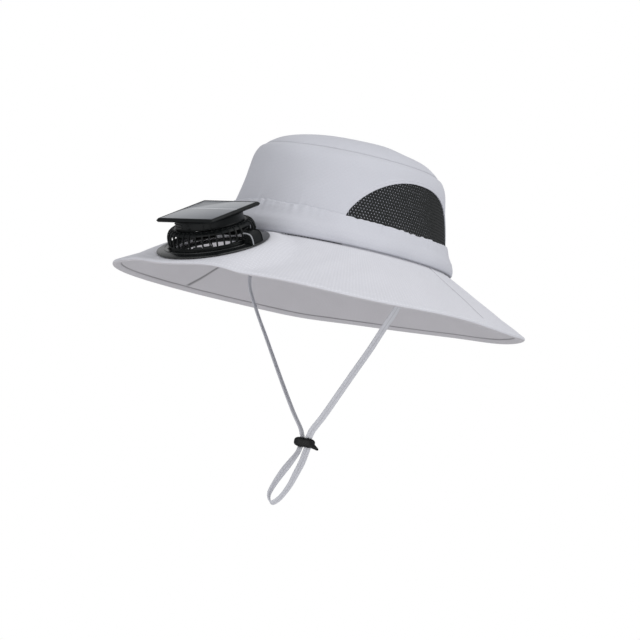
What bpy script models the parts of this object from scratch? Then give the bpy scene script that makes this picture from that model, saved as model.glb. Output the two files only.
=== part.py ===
"""Sun hat with a solar fan unit on the front of its brim.

The hat stands level. The origin is the middle of the head opening, at the
foot of the crown, +Z is up, the front with the fan looks along -Y and the
wearer's left is +X. Lengths are in metres.
"""
import math

import bmesh
import bpy
import numpy as np
from mathutils import Matrix, Vector

MM = 0.001
GAP = 0.3 * MM

# Crown, as outer sizes at the foot of the crown
BASE_HALF_WIDTH = 87.6 * MM
BASE_HALF_LENGTH = 106.0 * MM
CROWN_SEAM_HEIGHT = 75.5 * MM
CROWN_HEIGHT = 92.2 * MM
CLOTH = 1.5 * MM

# Band round the foot of the crown
BAND_HEIGHT = 25.9 * MM
BAND_DIP = 3.8 * MM
BAND_CLOTH = 1.6 * MM

# Mesh vents, one over each ear
VENT_HALF_SPAN = 45.0
VENT_FOOT_HALF_SPAN = 51.0
VENT_RISE = 39.4 * MM
VENT_CENTRE = 93.0
VENT_NET = 1.5 * MM

# Brim, horizontal reach of its edge from the origin and its drop
BRIM_HALF_WIDTH = 151.0 * MM
BRIM_FRONT = 191.5 * MM
BRIM_BACK = 179.5 * MM
BRIM_DROP = 39.4 * MM
BRIM_FRONT_DROP = 3.8 * MM
BRIM_SIDE_DROP = 1.3 * MM
BRIM_CLOTH = 2.4 * MM
BRIM_TUCK = 2.0 * MM
HEM_WIDTH = 6.5 * MM
HEM_EXTRA = 0.7 * MM

# Fan unit, on an axis square to the front of the brim
FLANGE_CLEARANCE = 2.0 * MM
FLANGE_RADIUS = 44.2 * MM
FLANGE_THICKNESS = 2.9 * MM
AIR_HOLE_RADIUS = 31.0 * MM
CAGE_RADIUS = 34.5 * MM
CAGE_HEIGHT = 13.6 * MM
CAGE_WALL = 1.8 * MM
CAGE_SLATS = 28
CAGE_SHOULDER = 7.0 * MM
CAGE_LIP = 4.5 * MM
NECK_RADIUS = 27.0 * MM
NECK_HEIGHT = 6.2 * MM
PANEL_WIDTH = 57.5 * MM
PANEL_LENGTH = 58.5 * MM
PANEL_THICKNESS = 3.4 * MM
PANEL_BORDER = 2.6 * MM
CELL_THICKNESS = 0.9 * MM
ROTOR_CLEARANCE = 3.1 * MM
ROTOR_LIFT = 5.4 * MM
ROTOR_HEIGHT = 5.2 * MM
ROTOR_HUB_RADIUS = 9.4 * MM
ROTOR_BLADES = 5
BLADE_HALF_THICKNESS = 0.6 * MM
MOTOR_RADIUS = 11.0 * MM
PORT_DEPTH = 6.4 * MM
PORT_WIDTH = 16.0 * MM
PORT_ANGLE = 8.0
CLAMP_RADIUS = 40.0 * MM
CLAMP_THICKNESS = 2.4 * MM
GUARD_BARS = 8

# Chin strap, a flat ribbon with a cord lock
STRAP_WIDTH = 5.5 * MM
LOCK_CENTRE = Vector((0.0, 5.6, -151.5)) * MM
LOCK_SIZE = Vector((16.5, 8.4, 8.4)) * MM
STRAP_STEP = 2.2
STRAP_END = 2.5

COLUMNS = 60
DOME_COLUMNS = 36
CUTTER_COLUMNS = 96

# Crown side: share of the seam's height, outer size as a share of the foot's
CROWN_SIDE_ROWS = (
    (0.014, 0.955),
    (0.162, 0.936),
    (0.351, 0.899),
    (0.486, 0.876),
    (0.622, 0.855),
    (0.757, 0.838),
    (0.858, 0.822),
    (0.932, 0.798),
    (0.977, 0.768),
    (1.000, 0.742),
)
# Crown top: share of the rise over the seam, outer size as a share of the foot's
CROWN_TOP_ROWS = (
    (0.00, 0.738),
    (0.19, 0.702),
    (0.45, 0.630),
    (0.70, 0.505),
    (0.88, 0.350),
    (1.00, 0.110),
)
# Band: share of its height, outer size as a share of the foot's
BAND_ROWS = (
    (0.00, 1.000),
    (0.17, 1.006),
    (0.38, 0.996),
    (0.66, 0.960),
    (1.00, 0.935),
)
# Brim: share of the way out along the slope
BRIM_ROWS = (0.0, 0.12, 0.3, 0.5, 0.7, 0.9, 1.0)

# Strap route on the wearer's left from the crown foot to the lock, in mm
STRAP_LEFT_ROUTE = (
    (86.7, -2.6, -4.25),
    (84.9, -2.8, -7.1),
    (83.0, -3.4, -14.0),
    (80.8, -4.1, -24.0),
    (77.0, -4.8, -35.4),
    (65.5, -3.6, -54.4),
    (54.1, -1.4, -72.0),
    (42.0, 0.0, -90.0),
    (28.6, 1.8, -110.0),
    (15.8, 3.8, -128.5),
    (6.6, 5.1, -140.2),
    (3.9, 5.6, -145.6),
)
STRAP_LOOP_ROUTE = (
    (-3.7, 5.4, -156.9),
    (-3.8, 4.1, -160.4),
    (-4.3, -1.1, -168.0),
    (-5.0, -9.0, -178.8),
    (-5.5, -16.1, -190.1),
    (-4.5, -20.6, -198.5),
    (-0.4, -20.7, -204.1),
    (3.8, -16.8, -199.4),
    (5.3, -9.8, -188.7),
    (5.1, -3.6, -177.2),
    (4.3, 1.8, -167.6),
    (3.8, 4.4, -160.8),
    (3.7, 5.6, -156.9),
)


def clear_scene():
    for item in list(bpy.data.objects):
        bpy.data.objects.remove(item)


def material(name, colour, roughness, metallic=0.0):
    made = bpy.data.materials.new(name)
    made.use_nodes = True
    shader = made.node_tree.nodes["Principled BSDF"]
    shader.inputs["Base Color"].default_value = (*colour, 1.0)
    shader.inputs["Roughness"].default_value = roughness
    shader.inputs["Metallic"].default_value = metallic
    made.diffuse_color = (*colour, 1.0)
    return made


def add_object(name, verts, faces, look, parent=None, angle=40.0):
    mesh = bpy.data.meshes.new(name)
    mesh.from_pydata([tuple(v) for v in verts], [], faces)
    work = bmesh.new()
    work.from_mesh(mesh)
    bmesh.ops.recalc_face_normals(work, faces=work.faces)
    if work.calc_volume(signed=True) < 0:
        bmesh.ops.reverse_faces(work, faces=work.faces)
    work.to_mesh(mesh)
    work.free()
    mesh.shade_smooth()
    mesh.set_sharp_from_angle(angle=math.radians(angle))
    mesh.materials.append(look)
    made = bpy.data.objects.new(name, mesh)
    bpy.context.scene.collection.objects.link(made)
    if parent is not None:
        made.parent = parent
    return made


def shell_mesh(outer, inner, keep=None, wrap=True, caps=False):
    """Faces of a sheet with two skins. Cells that keep leaves out are holes."""
    rows, cols = len(outer), len(outer[0])
    cells = cols if wrap else cols - 1
    size = rows * cols
    verts = [p for row in outer for p in row] + [p for row in inner for p in row]
    faces = []
    present = np.ones((rows - 1, cells), bool) if keep is None else keep

    def at(skin, r, c):
        return skin * size + r * cols + c % cols

    def there(r, c):
        if not 0 <= r < rows - 1:
            return False
        if wrap:
            return bool(present[r, c % cells])
        return 0 <= c < cells and bool(present[r, c])

    for r in range(rows - 1):
        for c in range(cells):
            if not there(r, c):
                continue
            faces.append((at(0, r, c), at(0, r, c + 1), at(0, r + 1, c + 1), at(0, r + 1, c)))
            faces.append((at(1, r, c), at(1, r + 1, c), at(1, r + 1, c + 1), at(1, r, c + 1)))
            if not there(r, c - 1):
                faces.append((at(0, r, c), at(0, r + 1, c), at(1, r + 1, c), at(1, r, c)))
            if not there(r, c + 1):
                faces.append((at(0, r, c + 1), at(1, r, c + 1), at(1, r + 1, c + 1), at(0, r + 1, c + 1)))
            if not there(r - 1, c):
                faces.append((at(0, r, c), at(1, r, c), at(1, r, c + 1), at(0, r, c + 1)))
            if not there(r + 1, c) and not (caps and r == rows - 2):
                faces.append((at(0, r + 1, c), at(0, r + 1, c + 1), at(1, r + 1, c + 1), at(1, r + 1, c)))
    if caps:
        faces.append(tuple(at(0, rows - 1, c) for c in range(cols)))
        faces.append(tuple(at(1, rows - 1, c) for c in reversed(range(cols))))
    used = sorted({i for face in faces for i in face})
    place = {old: new for new, old in enumerate(used)}
    return [verts[i] for i in used], [tuple(place[i] for i in face) for face in faces]


def ellipse_point(angle, half_width, half_length, z):
    """A point at an angle from the front, in degrees, towards the left ear."""
    turn = math.radians(angle)
    return Vector((half_width * math.sin(turn), -half_length * math.cos(turn), z))


def crown_ring(angle, share, z, inset=0.0):
    return ellipse_point(angle, BASE_HALF_WIDTH * share - inset, BASE_HALF_LENGTH * share - inset, z)


def side_share(height):
    """Outer size of the crown's side at a height, as a share of the foot's."""
    heights = [row[0] * CROWN_SEAM_HEIGHT for row in CROWN_SIDE_ROWS]
    shares = [row[1] for row in CROWN_SIDE_ROWS]
    return float(np.interp(height, heights, shares))


def band_top(angle):
    """Height of the band's upper edge, which dips over the ears."""
    return BAND_HEIGHT - BAND_DIP * math.sin(math.radians(angle)) ** 2


def from_vent_centre(angle):
    """Degrees from the middle of the nearer vent."""
    folded = abs((angle + 180.0) % 360.0 - 180.0)
    return abs(folded - VENT_CENTRE)


def vent_top(angle):
    """Height of the vent's arch, which runs into the crown's foot at its ends."""
    off = from_vent_centre(angle)
    foot = CROWN_SIDE_ROWS[0][0] * CROWN_SEAM_HEIGHT
    if off <= VENT_HALF_SPAN:
        arch = max(0.0, 1.0 - (off / VENT_HALF_SPAN) ** 2.2) ** 0.75
        return band_top(angle) + 0.5 * MM + VENT_RISE * arch
    if off >= VENT_FOOT_HALF_SPAN:
        return foot
    part = (off - VENT_HALF_SPAN) / (VENT_FOOT_HALF_SPAN - VENT_HALF_SPAN)
    return (band_top(angle) + 0.5 * MM) * (1.0 - part) + foot * part


def wall_grid(angles, low, high, count, wall):
    """Outer and inner skins of a standing cloth wall between two heights."""
    outer, inner = [], []
    for r in range(count + 1):
        out_row, in_row = [], []
        for angle in angles:
            z = low(angle) + (high(angle) - low(angle)) * r / count
            share = side_share(z)
            out_row.append(crown_ring(angle, share, z))
            in_row.append(crown_ring(angle, share, z, wall))
        outer.append(out_row)
        inner.append(in_row)
    return outer, inner


def make_crown_side(look):
    angles = [360.0 * c / COLUMNS for c in range(COLUMNS)]
    outer, inner = wall_grid(angles, vent_top, lambda a: CROWN_SEAM_HEIGHT, 5, CLOTH)
    add_object("crown_side", *shell_mesh(outer, inner), look)


def make_vent(name, side, look):
    step = 360.0 / COLUMNS
    count = round(2.0 * VENT_HALF_SPAN / step)
    start = VENT_CENTRE - VENT_HALF_SPAN
    margin = (VENT_FOOT_HALF_SPAN - VENT_HALF_SPAN) * 0.55
    inside = [start + step * c for c in range(count + 1)]
    angles = [side * angle for angle in (start - margin, *inside, inside[-1] + margin)]
    foot = CROWN_SIDE_ROWS[0][0] * CROWN_SEAM_HEIGHT

    def high(angle):
        return max(vent_top(angle) - 1.2 * MM, foot + 1.5 * MM)

    outer, inner = wall_grid(angles, lambda a: foot, high, 5, VENT_NET)
    add_object(name, *shell_mesh(outer, inner, wrap=False), look)


def make_crown_top(look):
    angles = [360.0 * c / DOME_COLUMNS for c in range(DOME_COLUMNS)]
    outer, inner = [], []
    foot = CROWN_SEAM_HEIGHT + GAP
    for rise, share in CROWN_TOP_ROWS:
        z = foot + rise * (CROWN_HEIGHT - foot)
        flat = 1.0 - share / CROWN_TOP_ROWS[0][1]
        outer.append([crown_ring(a, share, z) for a in angles])
        inner.append([crown_ring(a, share, z - CLOTH * flat**0.5, CLOTH * (1.0 - flat)) for a in angles])
    add_object("crown_top", *shell_mesh(outer, inner, caps=True), look)


def make_band(look):
    angles = [360.0 * c / COLUMNS for c in range(COLUMNS)]
    outer, inner = [], []
    for rise, share in BAND_ROWS:
        heights = [GAP + rise * (band_top(a) - GAP) for a in angles]
        outer.append([crown_ring(a, share, z) for a, z in zip(angles, heights)])
        inner.append([crown_ring(a, share, z, BAND_CLOTH) for a, z in zip(angles, heights)])
    add_object("hat_band", *shell_mesh(outer, inner), look)


def brim_edge(angle):
    turn = math.radians(angle)
    reach = BRIM_FRONT if math.cos(turn) > 0 else BRIM_BACK
    drop = BRIM_DROP + BRIM_FRONT_DROP * math.cos(turn) - BRIM_SIDE_DROP * math.cos(2.0 * turn)
    return ellipse_point(angle, BRIM_HALF_WIDTH, reach, -drop)


FRONT_DROP = BRIM_DROP + BRIM_FRONT_DROP - BRIM_SIDE_DROP
FAN_TILT = math.atan2(FRONT_DROP, BRIM_FRONT - BASE_HALF_LENGTH)
FAN_REACH = BASE_HALF_LENGTH + FLANGE_CLEARANCE + FLANGE_RADIUS * math.cos(FAN_TILT)
FAN_FOOT = Vector((0.0, -FAN_REACH, -(FAN_REACH - BASE_HALF_LENGTH) * math.tan(FAN_TILT)))
FLAT_RADIUS = FLANGE_RADIUS + 1.0 * MM
BLEND_RADIUS = 67.0 * MM


def smooth(value):
    value = min(1.0, max(0.0, value))
    return value * value * (3.0 - 2.0 * value)


def brim_top(angle, share):
    """Upper face of the brim: a straight slope, pulled flat round the fan."""
    root = ellipse_point(angle, BASE_HALF_WIDTH - BRIM_TUCK, BASE_HALF_LENGTH - BRIM_TUCK, 0.0)
    edge = brim_edge(angle)
    point = root.lerp(edge, share)
    away = math.hypot(point.x - FAN_FOOT.x, (point.y - FAN_FOOT.y) / math.cos(FAN_TILT))
    flat = smooth((BLEND_RADIUS - away) / (BLEND_RADIUS - FLAT_RADIUS)) * smooth(share / 0.12)
    plane = FAN_FOOT.z + (point.y - FAN_FOOT.y) * math.tan(FAN_TILT)
    point.z = point.z * (1.0 - flat) + plane * flat
    return point


def brim_down(angle, share):
    """Direction through the cloth, from the upper face to the lower."""
    here = brim_top(angle, share)
    along = brim_top(angle + 1.0, share) - brim_top(angle - 1.0, share)
    out = brim_top(angle, min(1.0, share + 0.03)) - brim_top(angle, max(0.0, share - 0.03))
    down = along.cross(out).normalized()
    if down.z > 0:
        down = -down
    return here, down


def make_brim(look, cutter):
    angles = [360.0 * c / COLUMNS for c in range(COLUMNS)]
    outer, inner = [], []
    for share in BRIM_ROWS:
        top_row, low_row = [], []
        for angle in angles:
            here, down = brim_down(angle, share)
            reach = (brim_edge(angle) - brim_top(angle, 0.0)).length
            hem = smooth((share - 1.0) * reach / HEM_WIDTH * 2.0 + 2.0)
            top_row.append(here)
            low_row.append(here + down * (BRIM_CLOTH + HEM_EXTRA * hem))
        outer.append(top_row)
        inner.append(low_row)
    made = add_object("brim", *shell_mesh(outer, inner), look)
    cut = made.modifiers.new("air_hole", "BOOLEAN")
    cut.operation = "DIFFERENCE"
    cut.solver = "EXACT"
    cut.object = cutter


def turned_rows(profile, count):
    """Rings of a turned skin, from (radius, height) pairs."""
    return [
        [
            Vector((r * math.cos(2 * math.pi * c / count), r * math.sin(2 * math.pi * c / count), z))
            for c in range(count)
        ]
        for r, z in profile
    ]


def turned_solid(name, profile, count, look, parent):
    """A closed turned body, from a profile whose two ends are flat faces."""
    rings = turned_rows(profile, count)
    verts = [p for ring in rings for p in ring]
    faces = []
    for r in range(len(rings) - 1):
        for c in range(count):
            d = (c + 1) % count
            faces.append((r * count + c, r * count + d, (r + 1) * count + d, (r + 1) * count + c))
    faces.append(tuple(range(count)))
    last = (len(rings) - 1) * count
    faces.append(tuple(last + c for c in reversed(range(count))))
    return add_object(name, verts, faces, look, parent)


def turned_ring(name, profile, count, look, parent):
    """A closed turned body, from a profile that is itself a closed loop."""
    rings = turned_rows(profile, count)
    verts = [p for ring in rings for p in ring]
    faces = []
    for r in range(len(rings)):
        s = (r + 1) % len(rings)
        for c in range(count):
            d = (c + 1) % count
            faces.append((r * count + c, r * count + d, s * count + d, s * count + c))
    return add_object(name, verts, faces, look, parent)


def box_mesh(half, centre, chamfer):
    """A box with chamfered upper edges."""
    verts = []
    for z, cut in ((-half.z, 0.0), (half.z - chamfer, 0.0), (half.z, chamfer)):
        for x, y in ((-1, -1), (1, -1), (1, 1), (-1, 1)):
            verts.append(centre + Vector((x * (half.x - cut), y * (half.y - cut), z)))
    faces = [(3, 2, 1, 0), (8, 9, 10, 11)]
    for low in (0, 4):
        for c in range(4):
            d = (c + 1) % 4
            faces.append((low + c, low + d, low + 4 + d, low + 4 + c))
    return verts, faces


def hide_cutter(item):
    item.hide_render = True
    item.display_type = "WIRE"


CAGE_FOOT = GAP + FLANGE_THICKNESS + GAP
CAGE_TOP = CAGE_FOOT + CAGE_HEIGHT
NECK_FOOT = CAGE_TOP + GAP
PANEL_FOOT = NECK_FOOT + NECK_HEIGHT + GAP
ROTOR_FOOT = CAGE_FOOT + ROTOR_LIFT
ROTOR_TOP = ROTOR_FOOT + ROTOR_HEIGHT
ROTOR_RADIUS = CAGE_RADIUS - CAGE_WALL - ROTOR_CLEARANCE


def make_cage(look, parent):
    """Slotted cage: a foot ring, slats over a round shoulder, a top ring."""
    crown = CAGE_RADIUS - CAGE_SHOULDER
    lip = NECK_RADIUS - CAGE_LIP
    outer_profile = [(CAGE_RADIUS, CAGE_FOOT), (CAGE_RADIUS, CAGE_FOOT + 2.8 * MM)]
    outer_profile.append((CAGE_RADIUS - 0.1 * MM, CAGE_FOOT + 7.0 * MM))
    bend = CAGE_RADIUS - 0.3 * MM - crown
    for step in range(4):
        turn = math.radians(step * 90.0 / 3)
        outer_profile.append((crown + bend * math.cos(turn), CAGE_TOP - bend * (1.0 - math.sin(turn))))
    outer_profile.append((lip, CAGE_TOP))
    inner_profile = []
    for index, (r, z) in enumerate(outer_profile):
        before = outer_profile[max(0, index - 1)]
        after = outer_profile[min(len(outer_profile) - 1, index + 1)]
        run = Vector((after[0] - before[0], after[1] - before[1])).normalized()
        inner_profile.append((r - CAGE_WALL * run.y, z + CAGE_WALL * run.x))
    inner_profile[0] = (CAGE_RADIUS - CAGE_WALL, CAGE_FOOT)
    inner_profile[-1] = (lip, CAGE_TOP - CAGE_WALL)
    count = CAGE_SLATS * 2
    outer = turned_rows(outer_profile, count)
    inner = turned_rows(inner_profile, count)
    keep = np.ones((len(outer) - 1, count), bool)
    keep[1:5, 0::2] = False
    add_object("fan_cage", *shell_mesh(outer, inner, keep), look, parent)


def make_rotor(look, parent):
    """Hub with swept blades, turning on the fan's axis."""
    round_off = ROTOR_HUB_RADIUS * 0.1
    hub = turned_solid(
        "fan_rotor",
        [
            (ROTOR_HUB_RADIUS - round_off, ROTOR_FOOT),
            (ROTOR_HUB_RADIUS, ROTOR_FOOT + round_off),
            (ROTOR_HUB_RADIUS, ROTOR_TOP - round_off),
            (ROTOR_HUB_RADIUS - round_off, ROTOR_TOP),
        ],
        40,
        look,
        parent,
    )
    middle = (ROTOR_FOOT + ROTOR_TOP) / 2
    start = ROTOR_HUB_RADIUS * 0.8
    steps = 4
    for blade in range(ROTOR_BLADES):
        outer, inner = [], []
        for r in range(steps + 1):
            part = r / steps
            radius = start + (ROTOR_RADIUS - start) * part
            chord = math.radians(50.0 - 12.0 * part)
            sweep = math.radians(360.0 * blade / ROTOR_BLADES + 14.0 * part)
            rise = ROTOR_HEIGHT * (0.71 - 0.19 * part)
            top_row, low_row = [], []
            for c in range(4):
                across = c / 3 - 0.5
                turn = sweep + chord * across
                z = middle + rise * across + 0.06 * ROTOR_HEIGHT * math.cos(math.pi * across)
                x, y = radius * math.cos(turn), radius * math.sin(turn)
                top_row.append(Vector((x, y, z + BLADE_HALF_THICKNESS)))
                low_row.append(Vector((x, y, z - BLADE_HALF_THICKNESS)))
            outer.append(top_row)
            inner.append(low_row)
        made = add_object(f"blade_{blade}", *shell_mesh(outer, inner, wrap=False), look, parent)
        hide_cutter(made)
        join = hub.modifiers.new(f"blade_{blade}", "BOOLEAN")
        join.operation = "UNION"
        join.solver = "EXACT"
        join.object = made


def make_motor(look, parent):
    """Motor can that hangs from the neck and carries the rotor."""
    foot = ROTOR_TOP + 2 * GAP
    edge = MOTOR_RADIUS * 0.05
    profile = [(MOTOR_RADIUS - edge, foot), (MOTOR_RADIUS, foot + edge), (MOTOR_RADIUS, NECK_FOOT - GAP)]
    turned_solid("fan_motor", profile, 40, look, parent)


def make_clamp(look, parent):
    """Ring under the brim with a plain guard of bars across the air hole."""
    high = -(BRIM_CLOTH + 2 * GAP)
    low = high - CLAMP_THICKNESS
    count = GUARD_BARS * 4
    radii = [CLAMP_RADIUS, *(AIR_HOLE_RADIUS * share for share in (0.97, 0.65, 0.58, 0.31, 0.24))]
    outer = turned_rows([(r, low) for r in radii], count)
    inner = turned_rows([(r, high) for r in radii], count)
    keep = np.zeros((len(radii) - 1, count), bool)
    keep[0, :] = True
    keep[2, :] = True
    keep[4, :] = True
    keep[:, 0::4] = True
    add_object("fan_guard", *shell_mesh(outer, inner, keep), look, parent)


def make_panel(frame_look, cell_look, parent):
    half = Vector((PANEL_WIDTH, PANEL_LENGTH, PANEL_THICKNESS)) * 0.5
    centre = Vector((0.0, 0.0, PANEL_FOOT + half.z))
    frame = add_object("solar_panel_frame", *box_mesh(half, centre, 0.9 * MM), frame_look, parent, 20.0)
    cell_half = Vector((half.x - PANEL_BORDER, half.y - PANEL_BORDER, CELL_THICKNESS / 2))
    pocket_half = cell_half + Vector((GAP, GAP, GAP / 2 + 0.5 * MM))
    pocket_foot = PANEL_FOOT + PANEL_THICKNESS - CELL_THICKNESS - GAP - 0.2 * MM
    pocket_centre = Vector((0.0, 0.0, pocket_foot + pocket_half.z))
    pocket = add_object("panel_pocket", *box_mesh(pocket_half, pocket_centre, 0.0), frame_look, parent)
    hide_cutter(pocket)
    cut = frame.modifiers.new("pocket", "BOOLEAN")
    cut.operation = "DIFFERENCE"
    cut.solver = "EXACT"
    cut.object = pocket
    cell_centre = Vector((0.0, 0.0, pocket_foot + GAP + CELL_THICKNESS / 2))
    add_object("solar_cell", *box_mesh(cell_half, cell_centre, 0.1 * MM), cell_look, parent, 20.0)


def make_port_housing(look, parent):
    """Raised housing on the cage's side, where the lead plugs in."""
    half = Vector((PORT_DEPTH, PORT_WIDTH, CAGE_HEIGHT * 0.91)) * 0.5
    centre = Vector((CAGE_RADIUS + half.x * 0.95, 0.0, CAGE_FOOT + half.z))
    verts, faces = box_mesh(half, centre, PORT_DEPTH * 0.19)
    turn = Matrix.Rotation(math.radians(PORT_ANGLE), 4, "Z")
    made = add_object("fan_port_housing", [turn @ v for v in verts], faces, look, parent, 20.0)
    radius = CAGE_RADIUS + GAP
    low, high = CAGE_FOOT - 1.0 * MM, CAGE_TOP + 1.0 * MM
    cutter = turned_solid("port_cutter", ((radius, low), (radius, high)), CUTTER_COLUMNS, look, parent)
    hide_cutter(cutter)
    cut = made.modifiers.new("cage_side", "BOOLEAN")
    cut.operation = "DIFFERENCE"
    cut.solver = "EXACT"
    cut.object = cutter


def smooth_route(points, step):
    """Points every few millimetres on a smooth curve through the route."""
    knots = [Vector(p) for p in points]
    ends = [knots[0] * 2 - knots[1], *knots, knots[-1] * 2 - knots[-2]]
    fine = []
    for i in range(1, len(ends) - 2):
        p0, p1, p2, p3 = ends[i - 1 : i + 3]
        for k in range(20):
            t = k / 20
            fine.append(
                0.5
                * (
                    2 * p1
                    + (p2 - p0) * t
                    + (2 * p0 - 5 * p1 + 4 * p2 - p3) * t * t
                    + (3 * p1 - p0 - 3 * p2 + p3) * t * t * t
                )
            )
    fine.append(knots[-1])
    lengths = [0.0]
    for a, b in zip(fine, fine[1:]):
        lengths.append(lengths[-1] + (b - a).length)
    count = max(4, round(lengths[-1] / step))
    rows = np.array([tuple(p) for p in fine])
    even = np.linspace(0.0, lengths[-1], count + 1)
    marks = [0.0, STRAP_END, *even[1:-1], lengths[-1] - STRAP_END, lengths[-1]]
    return [Vector(tuple(np.interp(m, lengths, rows[:, k]) for k in range(3))) for m in marks]


def make_strap(name, route, look, spacing):
    points = smooth_route(route, spacing)
    curve = bpy.data.curves.new(name, "CURVE")
    curve.dimensions = "3D"
    curve.bevel_depth = STRAP_WIDTH / 2
    curve.bevel_resolution = 2
    curve.resolution_u = 1
    curve.render_resolution_u = 0
    curve.use_fill_caps = True
    line = curve.splines.new("POLY")
    line.points.add(len(points) - 1)
    for item, point in zip(line.points, points):
        item.co = (*(point * MM), 1.0)
    curve.materials.append(look)
    made = bpy.data.objects.new(name, curve)
    bpy.context.scene.collection.objects.link(made)


def make_lock(look):
    """Bean-shaped cord lock with flat upper and lower faces and a short tail."""
    half = LOCK_SIZE / 2
    count = 28
    rings = []
    for share, z in ((0.84, -1.0), (0.97, -0.72), (1.0, 0.0), (0.97, 0.72), (0.84, 1.0)):
        ring = []
        for c in range(count):
            turn = 2 * math.pi * c / count
            x = math.copysign(abs(math.cos(turn)) ** 0.7, math.cos(turn))
            y = math.copysign(abs(math.sin(turn)) ** 0.7, math.sin(turn))
            tail = 3.6 * MM * max(0.0, math.cos(turn)) ** 8 * (1.0 - 0.6 * abs(z))
            ring.append(
                LOCK_CENTRE
                + Vector((half.x * share * x + tail, half.y * share * y, half.z * z - 0.5 * tail))
            )
        rings.append(ring)
    verts = [p for ring in rings for p in ring]
    faces = []
    for r in range(len(rings) - 1):
        for c in range(count):
            d = (c + 1) % count
            faces.append((r * count + c, r * count + d, (r + 1) * count + d, (r + 1) * count + c))
    faces.append(tuple(range(count)))
    last = (len(rings) - 1) * count
    faces.append(tuple(last + c for c in reversed(range(count))))
    add_object("cord_lock", verts, faces, look)


def build():
    clear_scene()
    cloth = material("hat_cloth", (0.53, 0.54, 0.60), 0.85)
    net = material("vent_net", (0.015, 0.02, 0.02), 0.8)
    plastic = material("black_plastic", (0.012, 0.013, 0.015), 0.4)
    cell = material("solar_cell_glass", (0.10, 0.11, 0.12), 0.25)
    ribbon = material("strap_ribbon", (0.34, 0.35, 0.38), 0.85)

    fan = bpy.data.objects.new("fan_axis", None)
    bpy.context.scene.collection.objects.link(fan)
    fan.location = FAN_FOOT
    fan.rotation_euler = (FAN_TILT, 0.0, 0.0)

    make_crown_side(cloth)
    make_crown_top(cloth)
    make_vent("vent_mesh_left", 1.0, net)
    make_vent("vent_mesh_right", -1.0, net)
    make_band(cloth)

    hole = turned_solid(
        "air_hole_cutter",
        [(AIR_HOLE_RADIUS, -12.0 * MM), (AIR_HOLE_RADIUS, 8.0 * MM)],
        72,
        plastic,
        fan,
    )
    hide_cutter(hole)
    make_brim(cloth, hole)

    top = GAP + FLANGE_THICKNESS
    turned_ring(
        "fan_flange",
        [
            (AIR_HOLE_RADIUS, GAP),
            (FLANGE_RADIUS, GAP),
            (FLANGE_RADIUS, top - 1.1 * MM),
            (FLANGE_RADIUS - 1.1 * MM, top),
            (AIR_HOLE_RADIUS, top),
        ],
        48,
        plastic,
        fan,
    )
    make_cage(plastic, fan)
    make_port_housing(plastic, fan)
    make_rotor(plastic, fan)
    make_motor(plastic, fan)
    make_clamp(plastic, fan)
    turned_solid(
        "fan_neck",
        [
            (NECK_RADIUS, NECK_FOOT),
            (NECK_RADIUS, NECK_FOOT + NECK_HEIGHT - 0.8 * MM),
            (NECK_RADIUS - 0.8 * MM, NECK_FOOT + NECK_HEIGHT),
        ],
        48,
        plastic,
        fan,
    )
    make_panel(plastic, cell, fan)

    spacing = STRAP_WIDTH / MM * STRAP_STEP
    make_strap("strap_left", STRAP_LEFT_ROUTE, ribbon, spacing)
    mirrored = [(-x, y, z) for x, y, z in STRAP_LEFT_ROUTE]
    make_strap("strap_right", mirrored, ribbon, spacing)
    make_strap("strap_loop", STRAP_LOOP_ROUTE, ribbon, spacing / 2)
    make_lock(plastic)


build()
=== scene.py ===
import math

import bmesh
import bpy
import numpy as np
from mathutils import Matrix, Vector


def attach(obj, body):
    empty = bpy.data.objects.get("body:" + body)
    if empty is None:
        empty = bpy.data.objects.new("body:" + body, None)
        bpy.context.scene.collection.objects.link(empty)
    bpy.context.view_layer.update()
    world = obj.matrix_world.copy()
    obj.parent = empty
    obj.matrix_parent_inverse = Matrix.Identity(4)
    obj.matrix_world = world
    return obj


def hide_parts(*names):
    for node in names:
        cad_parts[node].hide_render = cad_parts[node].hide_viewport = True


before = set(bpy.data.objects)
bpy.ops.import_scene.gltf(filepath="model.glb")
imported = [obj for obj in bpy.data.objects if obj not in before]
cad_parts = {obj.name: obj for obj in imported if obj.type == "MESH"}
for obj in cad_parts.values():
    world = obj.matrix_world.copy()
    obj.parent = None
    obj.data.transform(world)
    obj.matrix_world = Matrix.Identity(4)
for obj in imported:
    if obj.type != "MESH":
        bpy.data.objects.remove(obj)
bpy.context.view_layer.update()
MM = 0.001

# Camera
AZIMUTH, ELEVATION, ROLL = 39.6, -4.6, 10.6
VIEW_WIDTH = 0.512
DISTANCE = 3.0
SENSOR = 36.0
LOOK_RIGHT, LOOK_UP = -0.0022, -0.0530

az, el, roll = (math.radians(v) for v in (AZIMUTH, ELEVATION, ROLL))
toward = Vector((math.sin(az) * math.cos(el), -math.cos(az) * math.cos(el), math.sin(el)))
right = Vector((math.cos(az), math.sin(az), 0.0))
above = toward.cross(right)
target = right * LOOK_RIGHT + above * LOOK_UP
cam_x = right * math.cos(roll) + above * math.sin(roll)
cam_y = above * math.cos(roll) - right * math.sin(roll)
camera = bpy.data.objects.new("camera", bpy.data.cameras.new("camera"))
bpy.context.scene.collection.objects.link(camera)
camera.data.sensor_width = SENSOR
camera.data.lens = SENSOR * DISTANCE / VIEW_WIDTH
camera.data.clip_start, camera.data.clip_end = 0.1, 50.0
facing = Matrix((cam_x, cam_y, toward)).transposed().to_4x4()
camera.matrix_world = Matrix.Translation(target + toward * DISTANCE) @ facing
bpy.context.scene.camera = camera


# Materials
def new_material(name):
    made = bpy.data.materials.new(name)
    made.use_nodes = True
    tree = made.node_tree
    return made, tree, tree.nodes["Principled BSDF"]


def link(tree, out, into):
    tree.links.new(out, into)


def fill(node, **values):
    """Sets sockets of a node, with _ for each space in a name."""
    for name, value in values.items():
        node.inputs[name.replace("_", " ")].default_value = value


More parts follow.
